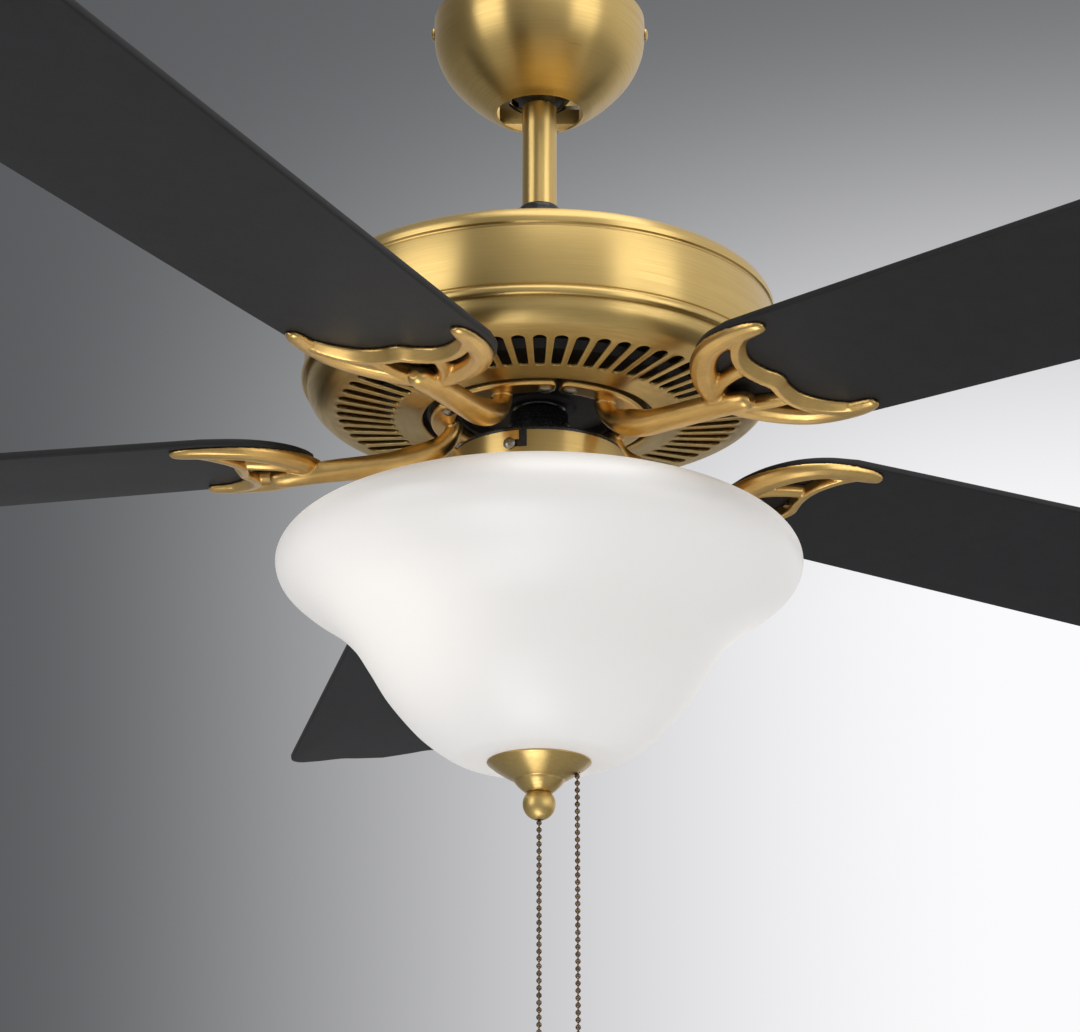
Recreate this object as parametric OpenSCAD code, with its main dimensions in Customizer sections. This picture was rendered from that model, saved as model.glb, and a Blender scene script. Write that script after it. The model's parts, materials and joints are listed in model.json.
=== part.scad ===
// Five-blade ceiling fan with a centre-hung glass bowl light.
// The origin is on the fan's axis at the ceiling. Everything hangs below it, along -Z.
// Heights called "h" are measured upward from the plane of the blades' undersides.

/* [Hanging] */
// Distance from the ceiling down to the blades
blade_drop = 290; // [280:1:420]
// Radius of the canopy where it meets the ceiling
canopy_r = 66; // [64:1:75]
// Height of the canopy
canopy_h = 64; // [60:1:70]
// Outer diameter of the downrod
rod_d = 21.4; // [20:0.1:22]
// Length of the downrod
rod_length = 152; // [150:1:154]
// Spacing of the two ceiling box screws
box_screw_spacing = 88.9; // [69.9, 88.9]

/* [Motor housing] */
// Radius of the drum's wall
drum_r = 141.9; // [140:0.1:144]
// Number of vent slots in the lower pan
slot_count = 60; // [30:6:60]
// Widest part of a vent slot
slot_w_outer = 7.8; // [6:0.1:8.5]
// Narrowest part of a vent slot
slot_w_inner = 5.8; // [4:0.1:6]
// Radius of the opening in the lower pan
pan_mouth_r = 70; // [68:0.5:74]

/* [Blades] */
// Distance from the fan's axis to a blade's tip
sweep_r = 660; // [500:5:760]
// Width of a blade near its root
blade_w_root = 121; // [110:1:130]
// Width of a blade at its tip
blade_w_tip = 152; // [130:1:170]
// Thickness of a blade
blade_t = 4.5; // [4:0.1:6]
// Pitch of the blades, with the leading clockwise edge raised
blade_pitch = 8.5; // [6:0.1:10]
// Droop of the blades towards their tips
blade_droop = 1.83; // [0:0.01:3]
// Turn of the first blade from the +X axis
first_blade_turn = 28.59; // [0:0.01:72]

/* [Light] */
// Outer radius of the switch cup
cup_r = 51.7; // [50:0.1:54]
// Wall of the glass bowl
glass_wall = 4; // [3:0.1:5]
// Direction of the first bulb from the +X axis
first_bulb_turn = 215; // [200:1:230]
// Downward tilt of the bulbs from level
bulb_tilt = 50; // [46:1:54]

/* [Pull chains] */
// Free length of each pull chain
chain_length = 150; // [80:1:300]
// Diameter of a chain bead
bead_d = 3.2; // [2.4, 3.2]

/* [Hidden] */
$fn = 64;
BLADES = 5;
BULBS = 2;

brass = "#b8924a";
black = "#1c1c1e";
blade_black = "#2e2e2e";
zinc = "#a9adb0";
copper = "#b5652f";
iron_grey = "#55585c";
bronze = "#5b4a3a";
opal = "#e9e8e4";

sheet = 1.4;             // thickness of the pressed brass covers
ball_r = 24;             // hanger ball
ball_h = -38;            // height of the ball's centre, from the ceiling
seat_r = 20;             // hole in the bracket that the ball sits on
seat_gap = 0.3;          // play between the ball and its seat
seat_t = 2.5;            // thickness of the bracket's steel
leg_y = 29;              // inner face of each bracket leg
rod_r = rod_d / 2;
rod_bore = rod_r - 2;
rod_top = -12;           // top of the downrod, from the ceiling
rod_bottom_h = rod_top - rod_length + blade_drop;
coupling_pin_h = rod_bottom_h + 7;
set_screw_h = rod_bottom_h + 12;
shaft_r = 8.5;
shaft_bore = 5.5;
running = 0.05;          // radial play of a running fit
flange_h = 96.6;         // underside of the drum's top, where the coupling bolts on
rotor_r = 96;
rotor_seat_h = 25.1;     // face of the rotor that the irons bolt to
foot_t = 6;
foot_low = rotor_seat_h - foot_t;
iron_screw_r = 57.9;     // circle of the screws that hold the irons
iron_screw_turn = 28.8;  // each screw's angle from its iron's arm
pad_t = 5;               // thickness of an iron's open bracket
blade_axis_v = 1;        // the bracket's centre line, across the blade
cup_top = -3.7;
cup_low = -46;
cup_screw_h = -11.7;
cup_screw_turn = 250.4;
plate_r = cup_r - 1.25;  // black plate inside the cup
cap_r = 30.3;
finial_h = -214.8;
finial_r = 9.5;
light_chain_x = 22;
chain_start = finial_h - finial_r + 0.6;
light_chain_start = -196.2;
fob_l = 24;

// Outline of the glass from its open top down to its bottom, as [radius, height].
glass_line = [
    [100, -38.5], [120, -43.5], [138, -50.5], [150, -59], [155.4, -69.5],
    [152.6, -81], [142, -91.5], [125, -103.5], [110.5, -117.5], [100, -133.5],
    [89.5, -150.5], [75, -168], [66, -176.3], [57.5, -182.7], [50, -187], [45, -188.8],
    [38, -189.6], [31, -189.7], [28, -189.7]
];
// Outline of the lower pan from the drum's bead down to its mouth, as [radius, height].
pan_line = [
    [139.7, 48], [139.7, 40.5], [138.3, 34.8], [133.4, 29.4], [124.5, 26.3]
];
// The bracket's half outline, from the root round to the blade side, as [outward, sideways].
horn_outer = [
    [134, 0], [136.4, 12], [142, 26], [153.5, 41.5], [170, 52], [186, 56.8],
    [200, 57.6], [208.5, 55.4], [213.4, 50]
];
horn_inner = [
    [212, 47.4], [204, 44.4], [192, 39.4], [184, 33], [180, 25], [179.6, 16], [182.2, 7],
    [184, 0]
];
// The iron's arm, as [outward, height] and radius: it thickens down from the foot to its bend,
// then runs out to the bracket.
arm_line = [[51, 21], [55.5, 11.4], [73, 0.2], [159, -7.2]];
arm_radii = [4.2, 5.6, 8, 6.8];
// The two free chains' routes: straight down under their own weight.
fan_chain_route = [
    for (d = [0 : chain_length / 20 : chain_length + 0.01]) [0, 0, chain_start - d]
];
light_chain_route = [
    for (d = [0 : chain_length / 20 : chain_length + 0.01])
        [light_chain_x, 0, light_chain_start - d]
];

BLADE_NODES = [for (i = [1 : BLADES]) str("blade_", i)];
IRON_NODES = [for (i = [1 : BLADES]) str("blade_iron_", i)];
BULB_NODES = [for (i = [1 : BULBS]) str("bulb_", i)];

// ---- Shared helpers ----

// A point on a smooth curve through four points, between the middle two.
function between(a, b, c, d, t) =
    0.5 * (2 * b + (c - a) * t + (2 * a - 5 * b + 4 * c - d) * t * t
           + (3 * b - a - 3 * c + d) * t * t * t);

// A smooth curve through all the points, with n steps between neighbours.
function smooth(p, n) = concat(
    [for (i = [0 : len(p) - 2]) for (k = [0 : n - 1])
        between(p[max(i - 1, 0)], p[i], p[i + 1], p[min(i + 2, len(p) - 1)], k / n)],
    [p[len(p) - 1]]);

function unit(v) = v / norm(v);

// The line moved sideways by d, to the left of its direction.
function beside(p, d) = [
    for (i = [0 : len(p) - 1])
        let (t = unit(p[min(i + 1, len(p) - 1)] - p[max(i - 1, 0)]))
            p[i] + d * [-t[1], t[0]]
];

function reversed(p) = [for (i = [len(p) - 1 : -1 : 0]) p[i]];

function mirrored(p) = [for (q = p) [q[0], -q[1]]];

function arc(center, r, from, to, n) = [
    for (k = [0 : n]) center + r * [cos(from + (to - from) * k / n), sin(from + (to - from) * k / n)]
];

module above_blades(h = 0) {
    translate([0, 0, h - blade_drop]) children();
}

module ring(outer, inner, height) {
    difference() {
        cylinder(r = outer, h = height);
        translate([0, 0, -1]) cylinder(r = inner, h = height + 2);
    }
}

// A shell of revolution whose outer line is given from top to bottom.
module spun_shell(line, wall) {
    rotate_extrude($fn = 180) polygon(concat(line, reversed(beside(line, -wall))));
}

// Places its children in the frame of blade i: outward, sideways and square to the blade.
module on_iron(i) {
    above_blades() rotate([0, 0, first_blade_turn + 360 / BLADES * (i - 2)]) children();
}

module on_blade(i) {
    on_iron(i) translate([200, 0, 0]) rotate([0, blade_droop, 0]) translate([-200, 0, 0])
        rotate([-blade_pitch, 0, 0]) children();
}

// A domed screw with a cross recess. Its head sits on z = 0 and its shank runs down.
module pan_head_screw(head_r, head_t, shank_r, shank_l) {
    dome_r = 1.6 * head_r;
    difference() {
        union() {
            intersection() {
                cylinder(r = head_r, h = head_t, $fn = 32);
                translate([0, 0, head_t - dome_r]) sphere(r = dome_r, $fn = 48);
            }
            translate([0, 0, -shank_l]) cylinder(r = shank_r, h = shank_l + 0.1, $fn = 24);
        }
        for (a = [0, 90]) rotate([0, 0, a]) translate([0, 0, head_t])
            cube([head_r, 0.9, 1.8], center = true);
    }
}

// A tube swept along a route, one ring of sides at each of the route's points.
module swept_tube(route, r, sides = 8) {
    rings = len(route);
    points = [for (p = route) for (k = [0 : sides - 1])
        p + r * [cos(360 * k / sides), sin(360 * k / sides), 0]];
    walls = [for (i = [0 : rings - 2]) for (k = [0 : sides - 1])
        [i * sides + k, i * sides + (k + 1) % sides,
         (i + 1) * sides + (k + 1) % sides, (i + 1) * sides + k]];
    polyhedron(points, concat(walls, [[for (k = [sides - 1 : -1 : 0]) k]],
        [[for (k = [0 : sides - 1]) (rings - 1) * sides + k]]));
}

// ---- Ceiling end ----

module ceiling_slot(x, length, r) {
    translate([x, 0, -seat_t - 1]) linear_extrude(seat_t + 2) union() {
        square([length - 2 * r, 2 * r], center = true);
        for (s = [-1, 1]) translate([s * (length / 2 - r), 0]) circle(r = r, $fn = 32);
    }
}

module hanger_bracket() {
    plate_l = 122;
    plate_w = 38;
    leg_w = 30;
    seat_top = ball_h - sqrt(pow(ball_r + seat_gap, 2) - pow(seat_r, 2));
    ear_h = 14;
    color(zinc) difference() {
        union() {
            translate([-plate_l / 2, -plate_w / 2, -seat_t]) cube([plate_l, plate_w, seat_t]);
            for (s = [-1, 1]) {
                // the ears that take the canopy's screws
                translate([s * (plate_l / 2 - 1), 0, -ear_h / 2]) cube([2, 18, ear_h], center = true);
                // the legs down to the ball's seat
                translate([-leg_w / 2, s > 0 ? leg_y : -leg_y - seat_t, seat_top - seat_t])
                    cube([leg_w, seat_t, -seat_top + seat_t]);
                translate([-leg_w / 2, s > 0 ? 18 : -leg_y - seat_t, -seat_t])
                    cube([leg_w, leg_y + seat_t - 18, seat_t]);
            }
            translate([-25, -leg_y - seat_t, seat_top - seat_t])
                cube([50, 2 * (leg_y + seat_t), seat_t]);
        }
        for (s = [-1, 1]) {
            ceiling_slot(s * box_screw_spacing / 2, 12, 2.6);
            translate([s * plate_l / 2, 0, -8]) rotate([0, 90, 0])
                cylinder(r = 1.95, h = 8, center = true, $fn = 32);
        }
        translate([0, 0, -seat_t - 1]) cylinder(r = 13, h = seat_t + 2);
        // the seat's hole, with the way in for the rod at one side and the locating tab left
        // standing at the other
        difference() {
            translate([0, 0, seat_top - seat_t - 1]) cylinder(r = seat_r, h = seat_t + 2);
            translate([-30, -3, seat_top - seat_t - 2]) cube([12.8, 6, seat_t + 4]);
        }
        translate([0, -rod_r - 1, seat_top - seat_t - 1]) cube([30, 2 * rod_r + 2, seat_t + 2]);
    }
}

module canopy() {
    hole_r = 27;
    line = smooth([
        [canopy_r, 0], [canopy_r, -10], [canopy_r - 1.6, -22], [canopy_r - 8, -36],
        [canopy_r - 20, -50], [canopy_r - 32, -canopy_h + 4], [hole_r, -canopy_h]
    ], 5);
    color(brass) difference() {
        spun_shell(line, 1.2);
        for (s = [-1, 1]) translate([s * canopy_r, 0, -8]) rotate([0, 90, 0])
            cylinder(r = 2.4, h = 8, center = true, $fn = 32);
    }
}

module canopy_screws() {
    color(brass) for (s = [-1, 1])
        translate([s * (canopy_r + 0.15), 0, -8]) rotate([0, s * 90, 0])
            pan_head_screw(4, 2.2, 1.9, 8);
}

// ---- Hanger ball, downrod and coupling ----

module hanger_ball() {
    color(black) difference() {
        translate([0, 0, ball_h]) sphere(r = ball_r, $fn = 96);
        translate([0, 0, ball_h - ball_r - 1]) cylinder(r = rod_r, h = 2 * ball_r + 2);
        translate([0, 0, ball_h]) rotate([90, 0, 0]) cylinder(r = 3, h = 60, center = true);
        // groove for the bracket's locating tab
        translate([-ball_r - 1, -3.8, ball_h - ball_r - 1]) cube([ball_r - 12, 7.6, 2 * ball_r + 2]);
    }
}

module hanger_pin() {
    color(zinc) translate([0, 0, ball_h]) rotate([90, 0, 0])
        cylinder(r = 3, h = 40, center = true);
}

module downrod() {
    color(brass) difference() {
        translate([0, 0, rod_top - rod_length]) ring(rod_r, rod_bore, rod_length);
        translate([0, 0, ball_h]) rotate([90, 0, 0]) cylinder(r = 3, h = 60, center = true);
        above_blades(coupling_pin_h) rotate([0, 90, 0])
            cylinder(r = 3, h = 60, center = true, $fn = 32);
    }
}

module downrod_pin() {
    color(zinc) above_blades(coupling_pin_h) rotate([0, 90, 0]) {
        cylinder(r = 3, h = 34.4, center = true, $fn = 32);
        translate([0, 0, 16.2]) cylinder(r = 4.2, h = 1.8, $fn = 32);
        translate([0, 0, -16.2]) rotate([90, 0, 0]) cylinder(r = 0.8, h = 10, center = true, $fn = 24);
    }
}

module coupling() {
    cup_h = rod_bottom_h + 16;
    color(iron_grey) difference() {
        union() {
            above_blades(flange_h - 5) cylinder(r = 40, h = 5);
            above_blades(flange_h - 0.1) cylinder(r = 15.2, h = cup_h - flange_h + 0.1);
        }
        above_blades(rod_bottom_h) cylinder(r = rod_r, h = 60);
        above_blades(flange_h - 12) cylinder(r = shaft_r, h = rod_bottom_h - flange_h + 14);
        above_blades(coupling_pin_h) rotate([0, 90, 0])
            cylinder(r = 3, h = 60, center = true, $fn = 32);
        for (a = [0 : 90 : 270]) rotate([0, 0, a + 45]) translate([32, 0, 0])
            above_blades(flange_h - 6) cylinder(r = 2, h = 8, $fn = 24);
        for (a = [90, 270]) rotate([0, 0, a]) above_blades(set_screw_h) rotate([0, 90, 0])
            cylinder(r = 2.5, h = 30, $fn = 24);
    }
}

module coupling_set_screws() {
    color(black) for (a = [90, 270]) rotate([0, 0, a]) above_blades(set_screw_h)
        translate([rod_r + 0.1, 0, 0]) rotate([0, 90, 0]) cylinder(r = 2.45, h = 5.4, $fn = 24);
}

module coupling_cover() {
    line = smooth([
        [rod_r + 0.3, 161.4], [12.2, 161], [12.9, 159.2], [13.4, 155.5], [15, 151],
        [17.8, 146.5], [22, 134], [28, 117], [35, 105.5], [42, 98.1]
    ], 4);
    color(black) above_blades() rotate_extrude($fn = 96) polygon(concat(line,
        reversed([for (p = beside(line, -1.5)) [max(p[0], rod_r + 0.3), max(p[1], 98.1)]])));
}

// Three insulated leads inside the downrod, clear of its two pins, with a wire nut on each.
module supply_leads() {
    lead_top = rod_top + 2;
    lead_low = rod_bottom_h - blade_drop + 1;
    color("white") for (a = [45 : 90 : 225]) rotate([0, 0, a]) {
        translate([6.5, 0, lead_low]) cylinder(r = 1.3, h = lead_top - lead_low, $fn = 24);
        translate([6.5, 0, lead_top - 0.1]) cylinder(r1 = 2.2, r2 = 1.5, h = 6, $fn = 24);
    }
}

// ---- Motor housing ----

module housing_drum() {
    r = drum_r;
    top = flange_h + sheet;
    bead = 42.6;
    outer = [
        [24, top], [r - 12, top], [r - 6, top - 0.4], [r - 2.7, top - 1.8], [r - 0.4, top - 4.4],
        [r + 0.7, top - 7.4], [r + 0.7, top - 10.6], [r - 0.7, top - 11.6], [r - 0.7, top - 12.6],
        [r, top - 13.4], [r, bead + 7.2], [r - 0.8, bead + 6.6], [r - 0.8, bead + 5.6],
        [r + 0.8, bead + 4.8], [r + 1.5, bead + 2.8], [r + 1.2, bead + 1], [r + 0.3, bead]
    ];
    inner = [
        [r - 2.1, bead], [r - 2.1, top - 4], [r - 4, top - sheet - 1], [r - 7, top - sheet],
        [24, top - sheet]
    ];
    color(brass) above_blades() difference() {
        rotate_extrude($fn = 180) polygon(concat(outer, inner));
        for (a = [0 : 90 : 270]) rotate([0, 0, a + 45]) translate([32, 0, flange_h - 1])
            cylinder(r = 2.4, h = 6, $fn = 24);
    }
}

module housing_screws() {
    color(zinc) for (a = [0 : 90 : 270]) rotate([0, 0, a + 45]) translate([32, 0, 0])
        above_blades(flange_h + sheet) pan_head_screw(3.8, 2.2, 2, 5.5);
}

module vent_slot() {
    ro = slot_w_outer / 2;
    ri = slot_w_inner / 2;
    linear_extrude(30) polygon(concat(
        arc([121.8 - ro, 0], ro, -85, 85, 6), arc([87.1 + ri, 0], ri, 95, 265, 4)));
}

module lower_pan() {
    skirt = smooth(pan_line, 3);
    mouth = [[84, 21.4], [pan_mouth_r + 2.2, 20.2], [pan_mouth_r + 0.4, 20.5], [pan_mouth_r, 21.8],
             [pan_mouth_r, 23.4]];
    line = concat(skirt, mouth);
    color(brass) above_blades() difference() {
        spun_shell(line, sheet - 0.2);
        for (i = [0 : slot_count - 1]) rotate([0, 0, 360 / slot_count * i])
            translate([0, 0, 10]) vent_slot();
    }
}

// ---- Motor ----

module motor_shaft() {
    color(zinc) above_blades(-2) difference() {
        ring(shaft_r, shaft_bore, rod_bottom_h + 1.9);
        // wire exit inside the switch cup's plate
        translate([0, 0, 4]) rotate([0, 90, 0]) cylinder(r = 2, h = 12, $fn = 24);
    }
}

module stator_core() {
    poles = 16;
    color(iron_grey) above_blades(46) difference() {
        ring(70.5, shaft_r, 18);
        for (i = [0 : poles - 1]) rotate([0, 0, 360 / poles * i]) {
            translate([44, -4.5, -1]) cube([23, 9, 20]);
            translate([60, -1.2, -1]) cube([12, 2.4, 20]);
        }
    }
}

module stator_windings() {
    poles = 16;
    color(copper) above_blades() {
        for (h = [39.5, 64]) translate([0, 0, h]) ring(66.4, 44.6, 6.5);
        for (i = [0 : poles - 1]) rotate([0, 0, 360 / poles * i])
            translate([44.6, -4, 45.9]) cube([21.6, 8, 18.2]);
    }
}

module rotor_cage() {
    color("#8b8e92") above_blades(44) difference() {
        ring(rotor_r - 3.1, 71.5, 22);
        translate([0, 0, -1]) rotor_screw_places() cylinder(r = 4.2, h = 24, $fn = 32);
        for (i = [0 : 31]) rotate([0, 0, 360 / 32 * i]) translate([76, -1, -1]) cube([9, 2, 24]);
    }
}

module rotor_screw_places() {
    for (i = [0 : 5]) rotate([0, 0, 60 * i + 30]) translate([rotor_r - 7, 0, 0]) children();
}

module rotor_base() {
    color(black) above_blades() difference() {
        union() {
            rotate_extrude($fn = 120) polygon([
                [16, 27.8], [20.5, 27.8], [22.5, 29.8], [46, 29.8], [47.5, rotor_seat_h],
                [67.5, rotor_seat_h], [68.5, 29.8], [rotor_r - 4, 30.6], [rotor_r, 35],
                [rotor_r, 55], [rotor_r - 3, 55], [rotor_r - 3, 37], [rotor_r - 6, 34],
                [22, 33.6], [22, 37], [16, 37]
            ]);
            rotor_screw_places() translate([0, 0, 33]) cylinder(r = 3.6, h = 22, $fn = 32);
        }
        rotor_screw_places() translate([0, 0, 36]) cylinder(r = 1.7, h = 30, $fn = 24);
        for (i = [1 : BLADES]) for (s = [-1, 1])
            rotate([0, 0, first_blade_turn + 360 / BLADES * (i - 2) + s * iron_screw_turn])
                translate([iron_screw_r, 0, rotor_seat_h - 1]) cylinder(r = 2, h = 12, $fn = 24);
    }
}

module rotor_cover() {
    color(black) above_blades() difference() {
        union() {
            rotate_extrude($fn = 120) polygon([
                [16, 71], [22, 71], [22, 74.5], [rotor_r - 8, 74.5], [rotor_r - 3, 70],
                [rotor_r - 3, 55.1], [rotor_r, 55.1], [rotor_r, 71.5], [rotor_r - 6, 78],
                [22, 78.4], [20.5, 80], [16, 80]
            ]);
            rotor_screw_places() translate([0, 0, 55.1]) cylinder(r = 3.6, h = 20, $fn = 32);
        }
        rotor_screw_places() translate([0, 0, 50]) cylinder(r = 2.1, h = 40, $fn = 24);
    }
}

module rotor_screws() {
    color(zinc) above_blades(78.2) rotor_screw_places() pan_head_screw(3.4, 2, 1.7, 40);
}

module motor_bearing(h) {
    color(zinc) above_blades(h) rotate_extrude($fn = 96) polygon([
        [shaft_r + running, 0], [11, 0], [11.4, 0.6], [13.2, 0.6], [13.6, 0], [16, 0],
        [16, 7], [13.6, 7], [13.2, 6.4], [11.4, 6.4], [11, 7], [shaft_r + running, 7]
    ]);
}

module upper_bearing() {
    motor_bearing(72.5);
}

module lower_bearing() {
    motor_bearing(29);
}

// The fixed neck below the rotor that the switch housing hangs from.
module shaft_neck() {
    color(black) above_blades() difference() {
        union() {
            rotate_extrude($fn = 96) polygon([
                [shaft_r, 0.2], [24, 0.2], [24, 3.4], [17.4, 7], [17.4, 16.6], [18.4, 17.2],
                [18.4, 18], [17.4, 18.6], [17.4, 24.6], [16.6, 25.2], [14.5, 27.4], [shaft_r, 27.4]
            ]);
            for (a = [0 : 60 : 300]) rotate([0, 0, a]) translate([16, -1.5, 3])
                rotate([90, 0, 0]) translate([0, 0, -3]) linear_extrude(3)
                    polygon([[0, 0], [7.6, 0], [0, 9]]);
        }
    }
}

// ---- Switch housing ----

module switch_plate() {
    color(black) above_blades() difference() {
        union() {
            translate([0, 0, -2]) cylinder(r = plate_r - 2, h = 2.2);
            rotate_extrude($fn = 120) polygon([
                [plate_r - 2.1, 0.2], [plate_r - 0.8, -0.4], [plate_r, -1.6], [plate_r, -17],
                [plate_r - 1.6, -17], [plate_r - 1.6, -2], [plate_r - 2.1, -2]
            ]);
        }
        translate([0, 0, -4]) cylinder(r = shaft_r, h = 8);
        cup_screw_places() translate([0, 0, -5]) cylinder(r = 2, h = 6, $fn = 24);
    }
}

module cup_screw_places() {
    for (a = [0 : 120 : 240]) rotate([0, 0, cup_screw_turn + a])
        translate([cup_r, 0, cup_screw_h]) rotate([0, 90, 0]) children();
}

module switch_cup() {
    slot_w = 4.7;
    lift = 8.8;                 // turn between the screw and the slot's open end
    wall = 1;
    color(brass) above_blades() difference() {
        rotate_extrude($fn = 180) polygon([
            [cup_r, cup_top], [cup_r, cup_low + 3], [cup_r - 1, cup_low + 0.8],
            [cup_r - 3, cup_low], [8, cup_low], [8, cup_low + wall], [cup_r - 3.4, cup_low + wall],
            [cup_r - wall, cup_low + 3.4], [cup_r - wall, cup_top]
        ]);
        for (a = [0 : 120 : 240]) rotate([0, 0, cup_screw_turn + a]) {
            translate([cup_r - 4, 0, cup_screw_h]) rotate([0, 90, 0])
                cylinder(r = slot_w / 2, h = 8, $fn = 24);
            rotate([0, 0, lift / 2]) translate([cup_r, 0, cup_screw_h])
                cube([9, 2 * cup_r * sin(lift / 2), slot_w - 0.2], center = true);
            rotate([0, 0, lift]) translate([cup_r, 0, cup_screw_h + 4.9])
                cube([9, slot_w, 14.6], center = true);
        }
        // window for the reversing switch's slider
        translate([0, cup_r, -26]) cube([5, 9, 14], center = true);
        translate([light_chain_x, 0, cup_low - 2]) cylinder(r = 5.2, h = 6, $fn = 32);
    }
}

module switch_cup_screws() {
    color(zinc) above_blades() cup_screw_places() translate([0, 0, 0.05])
        pan_head_screw(3.6, 2.3, 1.9, 5);
}

module fan_switch() {
    color("#e2ddcf") above_blades() difference() {
        union() {
            translate([-15, -11, -40]) cube([26, 22, 22]);
            translate([0, 0, -43.8]) cylinder(r = 5, h = 4, $fn = 32);
            for (x = [-11, -4, 3]) for (y = [-7, 5]) translate([x, y, -18.1]) cube([3, 2, 4]);
        }
        translate([0, 0, -46]) cylinder(r = 2.3, h = 14, $fn = 32);
    }
}

module light_switch() {
    color(black) above_blades() difference() {
        union() {
            translate([light_chain_x, 0, -44.9]) cylinder(r = 9.5, h = 22);
            translate([light_chain_x, 0, -56]) cylinder(r = 5, h = 12, $fn = 32);
        }
        translate([light_chain_x, 0, -58]) cylinder(r = 2.3, h = 20, $fn = 32);
    }
}

module capacitor() {
    color(black) above_blades() translate([-18, -32, -42]) cube([36, 17, 25]);
}

module reverse_switch() {
    color(black) above_blades() difference() {
        translate([-9, 36, -34]) cube([18, 13.2, 16]);
        translate([-1.7, 42, -33]) cube([3.4, 8, 14]);
    }
}

module reverse_slider() {
    color("#d9d9d6") above_blades() translate([-1.3, 42.6, -31]) {
        cube([2.6, 11.4, 4]);
        translate([-0.6, 10, 0]) cube([3.8, 2.4, 4]);
    }
}

// ---- Light ----

module bulb_places() {
    for (i = [1 : BULBS]) bulb_place(i) children();
}

// The frame of bulb i: +Z runs out of its lampholder's mouth.
module bulb_place(i) {
    above_blades(-54) rotate([0, 0, first_bulb_turn + 360 / BULBS * (i - 1)])
        translate([23, 0, 0]) rotate([0, 90 + bulb_tilt, 0]) children();
}

module lamp_plate() {
    color("white") difference() {
        union() {
            above_blades(-49) cylinder(r = 44, h = 3);
            bulb_places() translate([0, 0, -3]) cylinder(r = 8, h = 5, $fn = 32);
            for (i = [1 : BULBS]) rotate([0, 0, first_bulb_turn + 360 / BULBS * (i - 1)])
                above_blades(-55.5) translate([15, -6, 0]) cube([9, 12, 7]);
        }
        above_blades(-60) cylinder(r = 4.8, h = 20, $fn = 48);
        above_blades(-60) translate([light_chain_x, 0, 0]) cylinder(r = 5.1, h = 20, $fn = 32);
    }
}

module lampholders() {
    color(opal) bulb_places() translate([0, 0, 2]) difference() {
        union() {
            cylinder(r = 9.5, h = 26);
            cylinder(r = 11, h = 5);
        }
        translate([0, 0, 3]) cylinder(r = 6.6, h = 30);
    }
}

module bulb(i) {
    color("#fff3d8") bulb_place(i) translate([0, 0, 8]) rotate_extrude($fn = 72) polygon(concat(
        [[0, 0], [3.4, 0], [6.2, 2.5], [6.2, 19], [7.2, 21]],
        smooth([[7.2, 21], [10, 26], [14.4, 34], [16.6, 43], [15.4, 53], [11, 62], [5, 68],
                [1.6, 71.6]], 4),
        [[0, 73]]));
}

module center_rod() {
    color(zinc) above_blades(finial_h + 3) difference() {
        union() {
            ring(4.8, 3, -44 - finial_h - 3);
            translate([0, 0, -49 - finial_h - 3 - 4]) difference() {
                cylinder(r = 8, h = 4, $fn = 6);
                translate([0, 0, -1]) cylinder(r = 3, h = 6);
            }
        }
    }
}

module glass_bowl() {
    line = smooth(glass_line, 4);
    rim = line[0];
    color(opal) above_blades() rotate_extrude($fn = 180) polygon(concat(
        line, [[25.5, -189.7], [25.5, -189.7 + glass_wall]],
        reversed([for (p = beside(line, -glass_wall)) if (p[0] > 26) p]),
        [rim + [-0.6, glass_wall * 0.55]]));
}

module glass_gasket() {
    color("#3a3532") above_blades() rotate_extrude($fn = 96) polygon([
        [24.7, -189.75], [27.6, -189.75], [27.6, -190.5], [24.7, -192.6]
    ]);
}

module finial_cap() {
    color(brass) above_blades() difference() {
        rotate_extrude($fn = 120) polygon([
            [cap_r - 1.3, -189.75], [cap_r - 0.2, -189.8], [cap_r, -190.3], [cap_r - 0.9, -191.2],
            [23, -195.9], [15, -200.5], [14.6, -201], [13.2, -203], [10.8, -205.6], [8, -208],
            [4.8, -208], [4.8, -205.2], [8, -205.2], [12.4, -201.2], [14.4, -199.2], [22.4, -194.5]
        ]);
        translate([light_chain_x, 0, -205]) cylinder(r = 2.6, h = 20, $fn = 32);
    }
}

module finial_ball() {
    color(brass) above_blades(finial_h) difference() {
        sphere(r = finial_r, $fn = 96);
        translate([0, 0, -208 - finial_h]) cylinder(r = 8, h = 4);
        translate([0, 0, 3]) cylinder(r = 4.8, h = 20);
        translate([0, 0, -12]) cylinder(r = 2.2, h = 20, $fn = 32);
    }
}

// ---- Blades and irons ----

module bracket_outline() {
    edge = concat(smooth(horn_outer, 4), smooth(horn_inner, 4));
    full = concat(edge, reversed(mirrored(edge)));
    difference() {
        translate([0, blade_axis_v]) polygon(full);
        for (s = [0, 1]) translate([0, blade_axis_v]) mirror([0, s]) {
            // outer window, between the horn and its strut
            polygon([[157, 23], [167.4, 24], [170.4, 31], [175, 40], [166, 38], [158.5, 31]]);
            // half of the middle window
            polygon([[152, 0], [152, 9.4], [166.4, 13.4], [169, 8], [171.4, 0]]);
        }
    }
}

module arm() {
    for (k = [0 : 2]) rod_along(arm_line[k], arm_line[k + 1], arm_radii[k], arm_radii[k + 1]);
    for (k = [1 : 3]) translate([arm_line[k][0], 0, arm_line[k][1]])
        sphere(r = arm_radii[k] + 0.3, $fn = 48);
}

// A round rod between two points of the iron's middle plane, from one radius to another.
module rod_along(from, to, r_from, r_to) {
    d = to - from;
    translate([from[0], 0, from[1]]) rotate([0, 90 - atan2(d[1], d[0]), 0])
        cylinder(r1 = r_from, r2 = r_to, h = norm(d), $fn = 48);
}

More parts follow.
